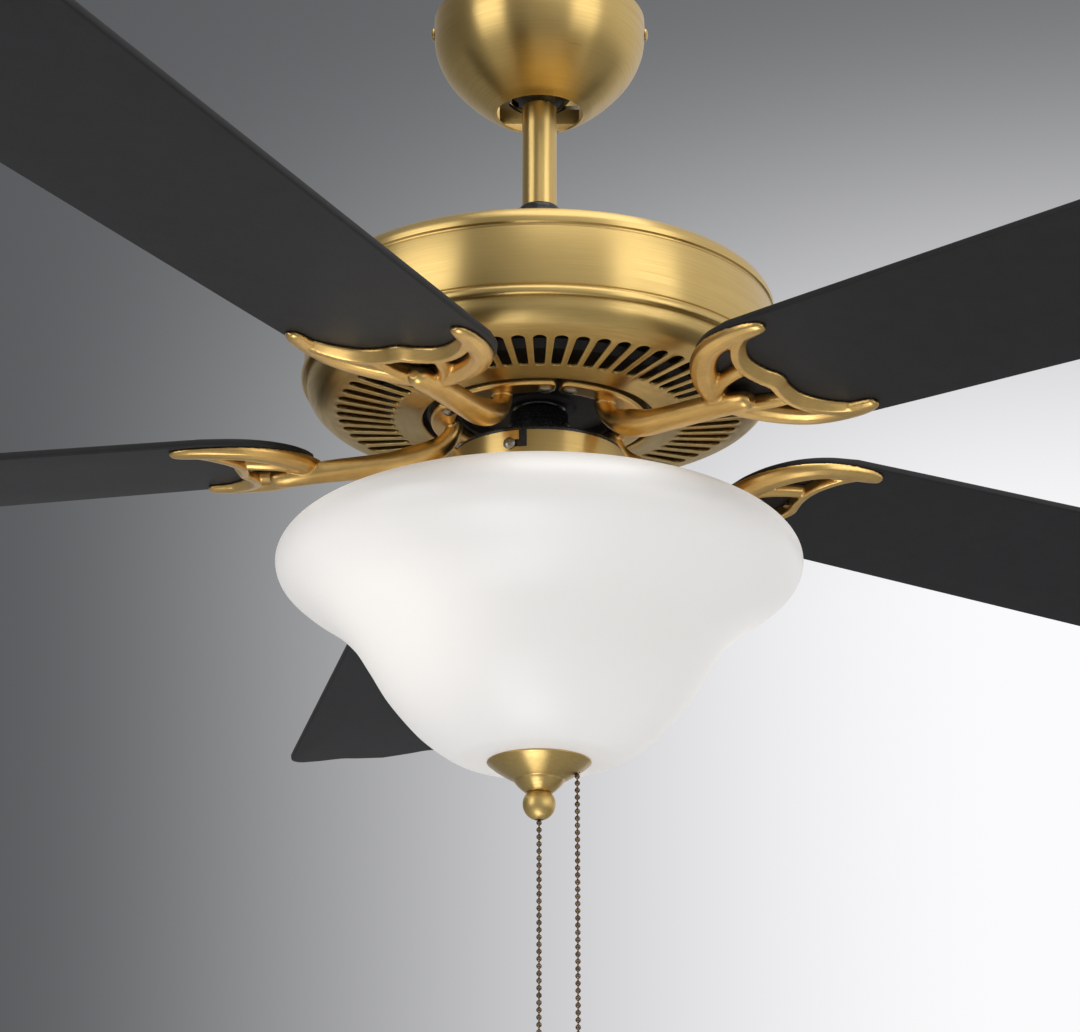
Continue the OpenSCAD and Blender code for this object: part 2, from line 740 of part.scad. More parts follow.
module iron(i) {
    half_foot = 34.6;
    color(brass) difference() {
        union() {
            on_blade(i) translate([0, 0, -pad_t]) linear_extrude(pad_t) bracket_outline();
            on_iron(i) {
                arm();
                rotate([0, 0, -half_foot]) rotate_extrude(angle = 2 * half_foot, $fn = 120)
                    translate([50.5, foot_low]) square([15, foot_t]);
            }
        }
        on_iron(i) for (s = [-1, 1]) rotate([0, 0, s * iron_screw_turn])
            translate([iron_screw_r, 0, foot_low - 1]) cylinder(r = 2.2, h = foot_t + 2, $fn = 24);
        on_blade(i) blade_screw_places() translate([0, 0, -3.6]) cylinder(r = 1.7, h = 8, $fn = 24);
    }
}

module iron_screws() {
    color(zinc) for (i = [1 : BLADES]) on_iron(i) for (s = [-1, 1])
        rotate([0, 0, s * iron_screw_turn]) translate([iron_screw_r, 0, foot_low])
            rotate([180, 0, 0]) pan_head_screw(4.2, 2.4, 2, foot_t + 8);
}

module blade_screw_places() {
    for (p = [[201, 50], [201, -48], [176, 1]]) translate([p[0], p[1], 0]) children();
}

module blade_outline() {
    root_w = blade_w_root / 2;
    tip_w = blade_w_tip / 2;
    side = 2.3;
    tip = sweep_r - 8;
    corner = 14;
    half = concat(
        smooth([[137, 0], [139.4, 14], [146, 30], [157.5, 44.5], [173, 54.5], [192, root_w - 0.6]], 4),
        arc([tip - corner, tip_w - corner], corner, 85, 12, 6),
        smooth([[tip + 0.4, tip_w - 24], [tip - 0.6, tip_w - 42], [tip + 3, 22], [tip + 8, 0]], 4));
    translate([0, side]) polygon(concat(half, reversed(mirrored(half))));
}

module blade(i) {
    color(blade_black) on_blade(i) difference() {
        linear_extrude(blade_t) blade_outline();
        blade_screw_places() translate([0, 0, -1]) cylinder(r = 2.2, h = blade_t + 2, $fn = 24);
    }
}

module blade_screws() {
    color(bronze) for (i = [1 : BLADES]) on_blade(i) blade_screw_places()
        translate([0, 0, blade_t]) {
            cylinder(r = 5.6, h = 0.8, $fn = 32);
            translate([0, 0, 0.8]) pan_head_screw(4.4, 2.2, 1.7, blade_t + 4);
        }
}

// ---- Pull chains ----

// The stretch of chain inside the light, from its switch down to where it comes out.
module chain_link(x, top, low) {
    color(bronze) above_blades() translate([x, 0, low]) cylinder(r = bead_d / 2, h = top - low, $fn = 24);
}

module fob(x, h) {
    color(bronze) above_blades(h) translate([x, 0, 0]) rotate_extrude($fn = 64) polygon(concat(
        [[0, 0], [1.7, 0], [2, -2.4]],
        smooth([[2, -2.4], [3.4, -5], [5, -11], [5.6, -17], [4.4, -22], [1.8, -fob_l + 0.2]], 4),
        [[0, -fob_l]]));
}

module fan_chain() {
    color(bronze) above_blades() swept_tube(fan_chain_route, bead_d / 2);
}

module fan_chain_link() {
    chain_link(0, -36, chain_start);
}

module fan_chain_fob() {
    fob(0, chain_start - chain_length);
}

module light_chain() {
    color(bronze) above_blades() swept_tube(light_chain_route, bead_d / 2);
}

module light_chain_link() {
    chain_link(light_chain_x, -40, light_chain_start);
}

module light_chain_fob() {
    fob(light_chain_x, light_chain_start - chain_length);
}

hanger_bracket();
canopy();
canopy_screws();
hanger_ball();
hanger_pin();
downrod();
downrod_pin();
coupling();
coupling_set_screws();
coupling_cover();
supply_leads();
housing_drum();
housing_screws();
lower_pan();
motor_shaft();
stator_core();
stator_windings();
rotor_cage();
rotor_base();
rotor_cover();
rotor_screws();
upper_bearing();
lower_bearing();
shaft_neck();
switch_plate();
switch_cup();
switch_cup_screws();
fan_switch();
light_switch();
capacitor();
reverse_switch();
reverse_slider();
lamp_plate();
lampholders();
center_rod();
glass_bowl();
glass_gasket();
finial_cap();
finial_ball();
iron_screws();
blade_screws();
fan_chain();
fan_chain_link();
fan_chain_fob();
light_chain();
light_chain_link();
light_chain_fob();
for (i = [1 : BLADES]) {
    blade(i);
    iron(i);
}
for (i = [1 : BULBS])
    bulb(i);
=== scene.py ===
"""Finishes a five-blade ceiling fan: smooth brass covers, cast blade irons, black blades,
a satin glass bowl and bead pull chains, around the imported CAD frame.

Shapes are written in millimetres, with heights counted up from the plane of the blades'
undersides, and put_down() carries them to the frame's metres below the ceiling."""

import json
import math

import bmesh
import bpy
import numpy as np
from bpy.props import FloatProperty, FloatVectorProperty, IntProperty, PointerProperty
from mathutils import Matrix, Vector


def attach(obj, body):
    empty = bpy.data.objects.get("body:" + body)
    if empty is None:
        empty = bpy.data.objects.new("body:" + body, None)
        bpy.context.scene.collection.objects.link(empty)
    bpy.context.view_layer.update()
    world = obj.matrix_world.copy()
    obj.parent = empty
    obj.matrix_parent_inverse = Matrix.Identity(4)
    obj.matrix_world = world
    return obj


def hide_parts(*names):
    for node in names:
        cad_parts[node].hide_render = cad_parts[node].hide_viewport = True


bl_info = {
    "name": "Ceiling fan finishes",
    "version": (1, 0, 0),
    "blender": (4, 5, 0),
    "location": "View3D > Sidebar > Ceiling fan",
    "description": "Makes the visible pieces and finishes of a ceiling fan with a bowl light",
    "category": "Object",
}

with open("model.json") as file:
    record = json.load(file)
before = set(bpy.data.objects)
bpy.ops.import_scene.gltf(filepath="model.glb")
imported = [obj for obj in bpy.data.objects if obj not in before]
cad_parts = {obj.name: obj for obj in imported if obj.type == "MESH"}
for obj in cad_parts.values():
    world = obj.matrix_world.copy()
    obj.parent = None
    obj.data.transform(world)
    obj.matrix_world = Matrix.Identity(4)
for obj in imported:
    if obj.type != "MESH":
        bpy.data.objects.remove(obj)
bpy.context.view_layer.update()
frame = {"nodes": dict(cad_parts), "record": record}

MM = 0.001
BLADES = 5
# Outward, mm: the line across a blade about which it droops
DROOP_LINE = 200
# Metres: points nearer than this become one
MERGE = 2e-6
# Millimetres: the cast iron's voxels, and the share of each easing step
IRON_GRAIN = 0.65
EASING = 0.45
# Where each pull chain starts: outward and up, mm
FAN_CHAIN_TOP = (0.0, -223.7)
LIGHT_CHAIN_TOP = (22.0, -196.2)
# The camera's place and direction, metres, and its lens, mm
CAMERA_PLACE = (-0.0037, -1.696, -0.9291)
CAMERA_FORWARD = (0.0023, 0.94274, 0.33349)
CAMERA_RIGHT = (1.0, -0.0025, 0.0004)
CAMERA_LENS = 100.96
# What the two side lamps aim at, metres
LAMP_AIM = (0, 0, -0.33)


# ---- Curves ----


def smooth_line(points, steps=6):
    """A smooth curve through the points: each span is the cubic whose slope at a point is half
    the step between the point's two neighbours."""
    p = np.asarray(points, float)
    far = np.vstack([2 * p[0] - p[1], p, 2 * p[-1] - p[-2]])
    a, b, c, d = (far[k : k + len(p) - 1, None] for k in range(4))
    t = (np.arange(steps) / steps)[None, :, None]
    curve = 0.5 * (
        2 * b + (c - a) * t + (2 * a - 5 * b + 4 * c - d) * t**2 + (3 * b - a - 3 * c + d) * t**3
    )
    return np.vstack([curve.reshape(-1, p.shape[1]), p[-1:]])


def unit(v):
    return v / np.maximum(np.linalg.norm(v, axis=-1, keepdims=True), 1e-12)


def beside(line, distance):
    """The flat line moved sideways by the distance, to the left of its direction."""
    t = unit(np.gradient(line, axis=0))
    return line + distance * np.stack([-t[:, 1], t[:, 0]], 1)


def arc(center, radius, start, end, steps):
    """Points at equal angles on a circle's arc, angles in degrees."""
    a = np.radians(np.linspace(start, end, steps + 1))
    return np.asarray(center) + radius * np.stack([np.cos(a), np.sin(a)], 1)


def spread(values, count):
    """Values stretched evenly over count places, with straight steps between them."""
    return np.interp(np.linspace(0, 1, count), np.linspace(0, 1, len(values)), values)


# ---- Surfaces: each is (points, faces) on a grid ----


def grid_faces(rows, columns, close_rows=False, close_columns=True):
    """The four-cornered faces of a grid of points, joined round the ends that close."""
    i = np.arange(rows if close_rows else rows - 1)[:, None]
    j = np.arange(columns if close_columns else columns - 1)[None, :]
    k, m = (i + 1) % rows, (j + 1) % columns
    return np.stack(
        [i * columns + j, i * columns + m, k * columns + m, k * columns + j], -1
    ).reshape(-1, 4)


def outward(points, faces):
    """The closed surface with its faces turned over if its signed volume is negative."""
    p = points[faces]
    volume = (np.cross(p[:, 0], p[:, 1]) * p[:, 2]).sum()
    volume += (np.cross(p[:, 0], p[:, 2]) * p[:, 3]).sum()
    return points, faces[:, ::-1] if volume < 0 else faces


def turned(line, steps=240, closed=True):
    """A profile of (radius, height) carried round the axis: x and y are the radius times the
    turn's cosine and sine, and z is the height. A closed profile ends where it began."""
    a = np.arange(steps) * 2 * np.pi / steps
    r, h = line[:, None, 0], line[:, None, 1]
    p = np.stack([r * np.cos(a), r * np.sin(a), np.broadcast_to(h, (len(line), steps))], -1)
    faces = grid_faces(len(line), steps, close_rows=closed)
    return outward(p.reshape(-1, 3), faces) if closed else (p.reshape(-1, 3), faces)


def carried(path, half_width, depth, section, up=(0.0, 0.0, 1.0)):
    """A section carried along a path: each ring is the path's point plus the section's x times
    the half width along the side and its y times the depth along the top. The side is square
    to the path and to up. Both ends close to a point in the ring's middle."""
    t = unit(np.gradient(path, axis=0))
    side = unit(np.cross(t, up))
    top = np.cross(side, t)
    x = (half_width[:, None] * section[:, 0])[..., None] * side[:, None]
    y = (depth[:, None] * section[:, 1])[..., None] * top[:, None]
    rings = path[:, None] + x + y
    ends = [np.repeat(rings[k].mean(0)[None, None], len(section), 1) for k in (0, -1)]
    grid = np.concatenate([ends[0], rings, ends[1]])
    return outward(grid.reshape(-1, 3), grid_faces(len(grid), len(section)))


def moved(surface, change):
    return change(surface[0]), surface[1]


def put_down(points):
    """Millimetres above the blades' plane, to the frame's metres below the ceiling."""
    out = np.asarray(points, float) * MM
    out[..., 2] -= bpy.context.scene.fan_sizes.blade_drop
    return out


def swung(points, degrees):
    """The points turned about the fan's axis."""
    a = math.radians(degrees)
    x, y = points[..., 0], points[..., 1]
    return np.stack(
        [x * math.cos(a) - y * math.sin(a), x * math.sin(a) + y * math.cos(a), points[..., 2]], -1
    )


def pitched(points):
    """From a flat blade's plane to its pitched and drooping place: a turn about the blade's
    length, and a turn about the droop line."""
    s = bpy.context.scene.fan_sizes
    x, y, z = points[..., 0], points[..., 1], points[..., 2]
    y, z = y * math.cos(s.pitch) + z * math.sin(s.pitch), z * math.cos(s.pitch) - y * math.sin(s.pitch)
    x = x - DROOP_LINE
    x, z = x * math.cos(s.droop) + z * math.sin(s.droop), z * math.cos(s.droop) - x * math.sin(s.droop)
    return np.stack([x + DROOP_LINE, y, z], -1)


def blade_turn(i):
    """The direction of blade i, in degrees from +X."""
    return math.degrees(bpy.context.scene.fan_sizes.first_turn) + 360 / BLADES * (i - 2)


# ---- Mesh and placing ----


def make_piece(name, surfaces, material, body, nodes, sharp=34, mend=False):
    """One mesh of several surfaces, doubles merged, smooth but for edges over the sharp angle.
    It rides on the body and stands for the CAD nodes."""
    points = np.concatenate([p for p, _ in surfaces])
    starts = np.cumsum([0] + [len(p) for p, _ in surfaces[:-1]])
    faces = np.concatenate([f + s for (_, f), s in zip(surfaces, starts)])
    mesh = bpy.data.meshes.new(name)
    mesh.from_pydata(put_down(points).tolist(), [], faces.tolist())
    tidy = bmesh.new()
    tidy.from_mesh(mesh)
    bmesh.ops.remove_doubles(tidy, verts=tidy.verts, dist=MERGE)
    if mend:
        bmesh.ops.recalc_face_normals(tidy, faces=tidy.faces)
    tidy.to_mesh(mesh)
    tidy.free()
    return place_mesh(name, mesh, material, body, nodes, sharp)


def place_mesh(name, mesh, material, body, nodes, sharp=34):
    mesh.polygons.foreach_set("use_smooth", [True] * len(mesh.polygons))
    mesh.set_sharp_from_angle(angle=math.radians(sharp))
    mesh.materials.append(material)
    piece = bpy.data.objects.new(name, mesh)
    bpy.context.scene.collection.objects.link(piece)
    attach(piece, body)
    if nodes:
        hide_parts(*nodes)
    return piece


# ---- Materials ----


class Finish:
    """One node material: a shader with noise on its colour, roughness and surface."""

    def __init__(self, name):
        self.material = bpy.data.materials.new(name)
        self.material.use_nodes = True
        self.tree = self.material.node_tree
        self.tree.nodes.clear()
        self.shader = self.node("ShaderNodeBsdfPrincipled")
        self.coords = self.node("ShaderNodeTexCoord")
        self.link(self.shader.outputs[0], self.node("ShaderNodeOutputMaterial").inputs[0])

    def node(self, kind, **settings):
        made = self.tree.nodes.new(kind)
        for key, value in settings.items():
            setattr(made, key, value)
        return made

    def link(self, out, into):
        self.tree.links.new(out, into)

    def set(self, **values):
        for key, value in values.items():
            self.shader.inputs[key.replace("_", " ")].default_value = value

    def noise(self, stretch, detail=3.0, rough=0.55):
        """Noise on the object's coordinates, with a number of grains a metre along each axis."""
        place = self.node("ShaderNodeMapping")
        place.inputs["Scale"].default_value = stretch
        self.link(self.coords.outputs["Object"], place.inputs["Vector"])
        texture = self.node("ShaderNodeTexNoise")
        texture.inputs["Scale"].default_value = 1.0
        texture.inputs["Detail"].default_value = detail
        texture.inputs["Roughness"].default_value = rough
        self.link(place.outputs[0], texture.inputs["Vector"])
        return texture.outputs["Fac"]

    def ranged(self, source, low, high, start=0.3, end=0.7):
        r = self.node("ShaderNodeMapRange")
        r.inputs["From Min"].default_value = start
        r.inputs["From Max"].default_value = end
        r.inputs["To Min"].default_value = low
        r.inputs["To Max"].default_value = high
        self.link(source, r.inputs["Value"])
        return r.outputs[0]

    def blend(self, factor, a, b):
        mix = self.node("ShaderNodeMix", data_type="RGBA")
        self.link(factor, mix.inputs[0])
        for value, slot in ((a, mix.inputs[6]), (b, mix.inputs[7])):
            if hasattr(value, "links"):
                self.link(value, slot)
            else:
                slot.default_value = (*value[:3], 1)
        return mix.outputs[2]

    def colour(self, source):
        self.link(source, self.shader.inputs["Base Color"])

    def roughness(self, source):
        self.link(source, self.shader.inputs["Roughness"])

    def bump(self, source, height):
        b = self.node("ShaderNodeBump")
        b.inputs["Distance"].default_value = height
        self.link(source, b.inputs["Height"])
        self.link(b.outputs[0], self.shader.inputs["Normal"])


def shade(colour, factor):
    return [min(1.0, c * factor) for c in colour[:3]]


def brushed_brass(name, stretch, tone=1.0, rough=0.34, height=0.000012):
    """Lacquered brass: fine brush lines, long along the axes that stretch makes small, over a
    slow drift of tone and a few dull patches."""
    c = bpy.context.scene.fan_colours
    f = Finish(name)
    lines = f.noise(stretch, detail=4.0)
    drift = f.noise((14, 14, 14), detail=2.0)
    base = f.blend(
        f.ranged(drift, 0, 1), shade(c.brass, 0.93 * tone), shade(c.brass, 1.07 * tone)
    )
    f.colour(f.blend(f.ranged(lines, 0.0, 0.35), base, shade(c.brass_dark, tone)))
    f.roughness(f.ranged(lines, rough - 0.05, rough + 0.06))
    f.set(Metallic=1.0, Anisotropic=0.8, Anisotropic_Rotation=0.25, Coat_Weight=0.12,
          Coat_Roughness=0.3)
    around = f.node("ShaderNodeTangent", direction_type="RADIAL", axis="Z")
    f.link(around.outputs[0], f.shader.inputs["Tangent"])
    f.bump(lines, height)
    return f.material


def cast_brass():
    """Cast and tumbled brass: soft grain, a drift of tone and faint darker streaks."""
    c = bpy.context.scene.fan_colours
    f = Finish("Cast brass")
    grain = f.noise((900, 900, 900), detail=3.0)
    drift = f.noise((55, 55, 55), detail=3.0)
    lines = f.noise((90, 90, 1500), detail=3.0)
    base = f.blend(f.ranged(drift, 0, 1), shade(c.casting, 1.05), shade(c.casting, 1.3))
    f.colour(f.blend(f.ranged(lines, 0, 0.25), base, c.brass_dark))
    f.roughness(f.ranged(grain, 0.28, 0.37))
    f.set(Metallic=1.0, Coat_Weight=0.1, Coat_Roughness=0.3)
    f.bump(grain, 0.00003)
    return f.material


def plain_finish(name, colour, metallic=0.0, rough=0.45, grain=700, height=0.00002, spread_by=0.1):
    """Paint, plastic, rubber or plated steel: fine grain, a slow drift of tone."""
    f = Finish(name)
    fine = f.noise((grain, grain, grain))
    drift = f.noise((30, 30, 30), detail=2.0)
    f.colour(
        f.blend(f.ranged(drift, 0, 1), shade(colour, 1 - spread_by), shade(colour, 1 + spread_by))
    )
    f.roughness(f.ranged(fine, rough - 0.06, rough + 0.08))
    f.set(Metallic=metallic)
    f.bump(fine, height)
    return f.material


def blade_paint():
    """Satin black paint on a smooth board: faint long grain telegraphing through it."""
    c = bpy.context.scene.fan_colours
    f = Finish("Black blade paint")
    grain = f.noise((70, 70, 70), detail=5.0)
    speck = f.noise((1600, 1600, 1600), detail=2.0)
    f.colour(f.blend(f.ranged(grain, 0, 1), shade(c.blade, 0.9), shade(c.blade, 1.1)))
    f.roughness(f.ranged(speck, 0.48, 0.58))
    f.set(Specular_IOR_Level=0.2)
    f.bump(speck, 0.000018)
    return f.material


def satin_glass():
    """Opal glass with an etched face, and a painted glow: it emits light, strongest beside each bulb
    behind it.
    """
    c = bpy.context.scene.fan_colours
    s = bpy.context.scene.fan_sizes
    f = Finish("Satin opal glass")
    cloud = f.noise((9, 9, 9), detail=2.0)
    etch = f.noise((2400, 2400, 2400), detail=1.0)
    f.colour(f.blend(f.ranged(cloud, 0, 1), shade(c.glass, 0.985), c.glass))
    f.roughness(f.ranged(etch, 0.34, 0.42))
    f.set(Subsurface_Weight=0.25, Subsurface_Scale=0.02, IOR=1.5)
    f.shader.inputs["Subsurface Radius"].default_value = (1.0, 0.95, 0.85)
    # Painted glow: the glass itself emits warm light, strongest beside each bulb and evenly all over;
    # it is no lamp.
    glows = []
    for k in range(s.bulbs):
        a = s.first_bulb + k * 2 * math.pi / s.bulbs
        reach = f.node("ShaderNodeVectorMath", operation="DISTANCE")
        f.link(f.coords.outputs["Object"], reach.inputs[0])
        reach.inputs[1].default_value = (
            0.098 * math.cos(a), 0.098 * math.sin(a), -s.blade_drop - 0.112
        )
        painted_glow_spot = f.node("ShaderNodeMapRange", interpolation_type="SMOOTHERSTEP")
        painted_glow_spot.inputs["From Min"].default_value = 0.012
        painted_glow_spot.inputs["From Max"].default_value = 0.1
        painted_glow_spot.inputs["To Min"].default_value = 1.0
        painted_glow_spot.inputs["To Max"].default_value = 0.0
        f.link(reach.outputs["Value"], painted_glow_spot.inputs["Value"])
        glows.append(painted_glow_spot.outputs[0])
    total = glows[0]
    for g in glows[1:]:
        add = f.node("ShaderNodeMath", operation="ADD")
        f.link(total, add.inputs[0])
        f.link(g, add.inputs[1])
        total = add.outputs[0]
    # Strength of the painted glow, from the even glow all over to the full glow beside a bulb.
    strength = f.ranged(total, s.even_glow, s.glow, 0.0, 1.0)
    f.link(strength, f.shader.inputs["Emission Strength"])
    f.shader.inputs["Emission Color"].default_value = (*c.glow[:3], 1)
    f.bump(etch, 0.000004)
    return f.material


def bead_bronze():
    """Dark plated beads, brighter where hands have rubbed them."""
    c = bpy.context.scene.fan_colours
    f = Finish("Bead chain bronze")
    wear = f.noise((420, 420, 420), detail=3.0)
    f.colour(f.blend(f.ranged(wear, 0, 1), shade(c.bronze, 0.7), shade(c.bronze, 1.5)))
    f.roughness(f.ranged(wear, 0.4, 0.28))
    f.set(Metallic=1.0)
    f.bump(wear, 0.00001)
    return f.material


materials = {}


def material(name):
    """The finish of that name, made once."""
    if name not in materials:
        c = bpy.context.scene.fan_colours
        makers = {
            "turned": lambda: brushed_brass("Turned brass", (22, 22, 2600)),
            "pan": lambda: brushed_brass("Pan brass", (60, 60, 1800), tone=0.95, rough=0.38),
            "rod": lambda: brushed_brass("Rod brass", (2600, 2600, 22), rough=0.32),
            "finial": lambda: brushed_brass("Finial brass", (260, 260, 2600), rough=0.34),
            "knob": lambda: plain_finish("Tumbled brass", c.brass, 1.0, 0.42, 260, 0.00012),
            "cast": cast_brass,
            "blade": blade_paint,
            "glass": satin_glass,
            "bronze": bead_bronze,
            "black": lambda: plain_finish("Black enamel", c.black, rough=0.28, height=0.00001),
            "rotor": lambda: plain_finish("Rotor black", c.black, rough=0.55, height=0.00004),
            "steel": lambda: plain_finish("Zinc plate", (0.6, 0.61, 0.62), 1.0, 0.36),
            "iron": lambda: plain_finish("Bare iron", (0.2, 0.2, 0.21), 0.8, 0.55, height=0.00005),
            "copper": lambda: plain_finish("Enamelled copper", (0.62, 0.24, 0.09), 1.0, 0.35, 1500),
            "white": lambda: plain_finish("White plastic", (0.78, 0.77, 0.73), 0.0, 0.45),
            "black_plastic": lambda: plain_finish("Black plastic", (0.03, 0.03, 0.03), 0.0, 0.5),
            "porcelain": lambda: plain_finish("Porcelain", (0.82, 0.81, 0.77), 0.0, 0.2, 300),
            "bulb": lambda: plain_finish("Frosted bulb", (0.9, 0.87, 0.78), 0.0, 0.35, 900),
            "rubber": lambda: plain_finish("Rubber", (0.02, 0.02, 0.02), 0.0, 0.7, 500, 0.00005),
            "screw": lambda: plain_finish("Dark screw plate", (0.33, 0.3, 0.25), 1.0, 0.33),
        }
        materials[name] = makers[name]()
    return materials[name]


CAD_FINISHES = {
    "brass": "turned", "black_metal": "black", "zinc_steel": "steel", "cast_iron": "iron",
    "copper_wire": "copper", "white_plastic": "white", "black_plastic": "black_plastic",
    "white_metal": "white", "porcelain": "porcelain", "bulb_glass": "bulb",
    "opal_glass": "glass", "rubber": "rubber", "blade_black": "blade", "bronze": "bronze",
}


# ---- Settings ----


class FanSizes(bpy.types.PropertyGroup):
    blade_drop: FloatProperty(
        name="Blade drop", description="Ceiling to the blades", default=0.29, unit="LENGTH")
    drum_radius: FloatProperty(
        name="Drum radius", description="The drum's plain wall", default=0.1419, unit="LENGTH")
    slots: IntProperty(
        name="Vent slots", description="Slots in the lower pan", default=60, min=30, max=60)
    first_turn: FloatProperty(
        name="First blade", description="Turn of the right-hand blade",
        default=math.radians(28.59), subtype="ANGLE")
    pitch: FloatProperty(
        name="Blade pitch", description="Slope across a blade",
        default=math.radians(8.5), subtype="ANGLE")
    droop: FloatProperty(
        name="Blade droop", description="Slope along a blade",
        default=math.radians(1.83), subtype="ANGLE")
    sweep: FloatProperty(
        name="Sweep radius", description="Axis to blade tip", default=0.66, unit="LENGTH")
    blade_root: FloatProperty(
        name="Blade width, root", description="Width near the root", default=0.121, unit="LENGTH")
    blade_tip: FloatProperty(
        name="Blade width, tip", description="Width at the tip", default=0.152, unit="LENGTH")
    blade_thickness: FloatProperty(
        name="Blade thickness", description="Board thickness", default=0.0045, unit="LENGTH")
    bead: FloatProperty(
        name="Bead size", description="Diameter of a chain bead", default=0.0032, unit="LENGTH")
    bead_pitch: FloatProperty(
        name="Bead pitch", description="Bead to bead", default=0.00414, unit="LENGTH")
    chain: FloatProperty(
        name="Chain length", description="Free length of a chain", default=0.15, unit="LENGTH")
    bulbs: IntProperty(name="Bulbs", description="Bulbs in the bowl", default=2, min=1, max=3)
    first_bulb: FloatProperty(
        name="First bulb", description="Direction of the first bulb",
        default=math.radians(215), subtype="ANGLE")
    # glow and even_glow set the glass's painted glow: emission beside a bulb, and emission all over.
    glow: FloatProperty(
        name="Glow", description="Light through the glass beside a bulb", default=0.36, min=0)
    even_glow: FloatProperty(
        name="Even glow", description="Light through the glass all over", default=0.18, min=0)


class FanColours(bpy.types.PropertyGroup):
    brass: FloatVectorProperty(
        name="Brass", description="Brushed brass", default=(0.62, 0.44, 0.162), subtype="COLOR")
    brass_dark: FloatVectorProperty(
        name="Brass, brush lines", description="Between the brush lines",
        default=(0.42, 0.265, 0.078), subtype="COLOR")
    casting: FloatVectorProperty(
        name="Cast brass", description="Blade irons", default=(0.66, 0.43, 0.15),
        subtype="COLOR")
    blade: FloatVectorProperty(
        name="Blades", description="Black paint", default=(0.018, 0.018, 0.0185), subtype="COLOR")
    black: FloatVectorProperty(
        name="Black metal", description="Enamel", default=(0.012, 0.012, 0.013), subtype="COLOR")
    glass: FloatVectorProperty(
        name="Glass", description="Opal glass", default=(0.83, 0.825, 0.815), subtype="COLOR")
    # Colour of the glass's painted glow.
    glow: FloatVectorProperty(
        name="Lamp light", description="Light through the glass",
        default=(1.0, 0.92, 0.83), subtype="COLOR")
    bronze: FloatVectorProperty(
        name="Chain", description="Bead chain", default=(0.16, 0.11, 0.07), subtype="COLOR")
    backdrop: FloatVectorProperty(
        name="Backdrop", description="Pale studio backdrop",
        default=(0.62, 0.63, 0.64), subtype="COLOR")


class FanTool:
    """What every piece's operator shares."""

    bl_options = {"REGISTER"}


# ---- Pieces ----


class FAN_OT_hanging(FanTool, bpy.types.Operator):
    """Canopy, downrod and the black cover over the coupling"""

    bl_idname = "ceiling_fan.hanging"
    bl_label = "Canopy and downrod"

    def execute(self, context):
        top = context.scene.fan_sizes.blade_drop / MM
        dish = smooth_line(
            [(66, top), (66, top - 10), (64.4, top - 22), (58, top - 36), (46, top - 50),
             (34, top - 60), (27, top - 64)], 8)
        shell = np.vstack([dish, beside(dish, -1.2)[::-1]])
        make_piece("canopy_shell", [turned(shell)], material("turned"), "ceiling_mount",
                   ["canopy"])
        r, low, high = 10.7, 126.0, 278.0
        tube = np.array([(r - 2, low), (r - 0.4, low), (r, low + 0.4), (r, high - 0.4),
                         (r - 0.4, high), (r - 2, high)])
        make_piece("downrod_tube", [turned(tube, 96)], material("rod"), "fan_frame",
                   ["downrod"])
        bell = smooth_line([(11.0, 161.4), (12.2, 161), (12.9, 159.2), (13.4, 155.5), (15, 151),
                            (17.8, 146.5), (22, 134), (28, 117), (35, 105.5), (42, 98.1)], 6)
        inner = beside(bell, -1.5)[::-1]
        inner = np.stack([np.maximum(inner[:, 0], 11.0), np.clip(inner[:, 1], 98.1, 160.2)], 1)
        make_piece("coupling_bell", [turned(np.vstack([bell, inner]), 160)], material("black"),
                   "fan_frame", ["coupling_cover"])
        return {"FINISHED"}


class FAN_OT_drum(FanTool, bpy.types.Operator):
    """Drum: rolled top edge, groove, plain wall and bottom bead"""

    bl_idname = "ceiling_fan.drum"
    bl_label = "Drum"

    def execute(self, context):
        r = context.scene.fan_sizes.drum_radius / MM
        top, bead = 98.0, 42.6
        lip = smooth_line([(r - 14, top), (r - 7, top - 0.25), (r - 3.2, top - 1.5),
                           (r - 0.7, top - 4.2), (r + 0.6, top - 7.2), (r + 0.7, top - 9.4)], 6)
        groove = smooth_line([(r + 0.5, top - 10.6), (r - 0.7, top - 11.4), (r - 0.7, top - 12.6),
                              (r - 0.1, top - 13.3)], 3)
        wall = np.array([(r, top - 13.7), (r, bead + 7.4)])
        base = smooth_line([(r - 0.2, bead + 7), (r - 0.9, bead + 6.5), (r - 0.9, bead + 5.6),
                            (r + 0.5, bead + 5.0), (r + 1.4, bead + 3.6), (r + 1.5, bead + 2.2),
                            (r + 1.1, bead + 0.8), (r + 0.2, bead)], 4)
        inside = np.array([(r - 2.1, bead), (r - 2.1, top - 4), (r - 4, top - 2.4),
                           (r - 7, top - 1.4), (24, top - 1.4), (24, top)])
        line = np.vstack([lip, groove, wall, base, inside])
        make_piece("drum_shell", [turned(line, 300)], material("turned"), "fan_frame",
                   ["housing_drum"], sharp=30)
        return {"FINISHED"}


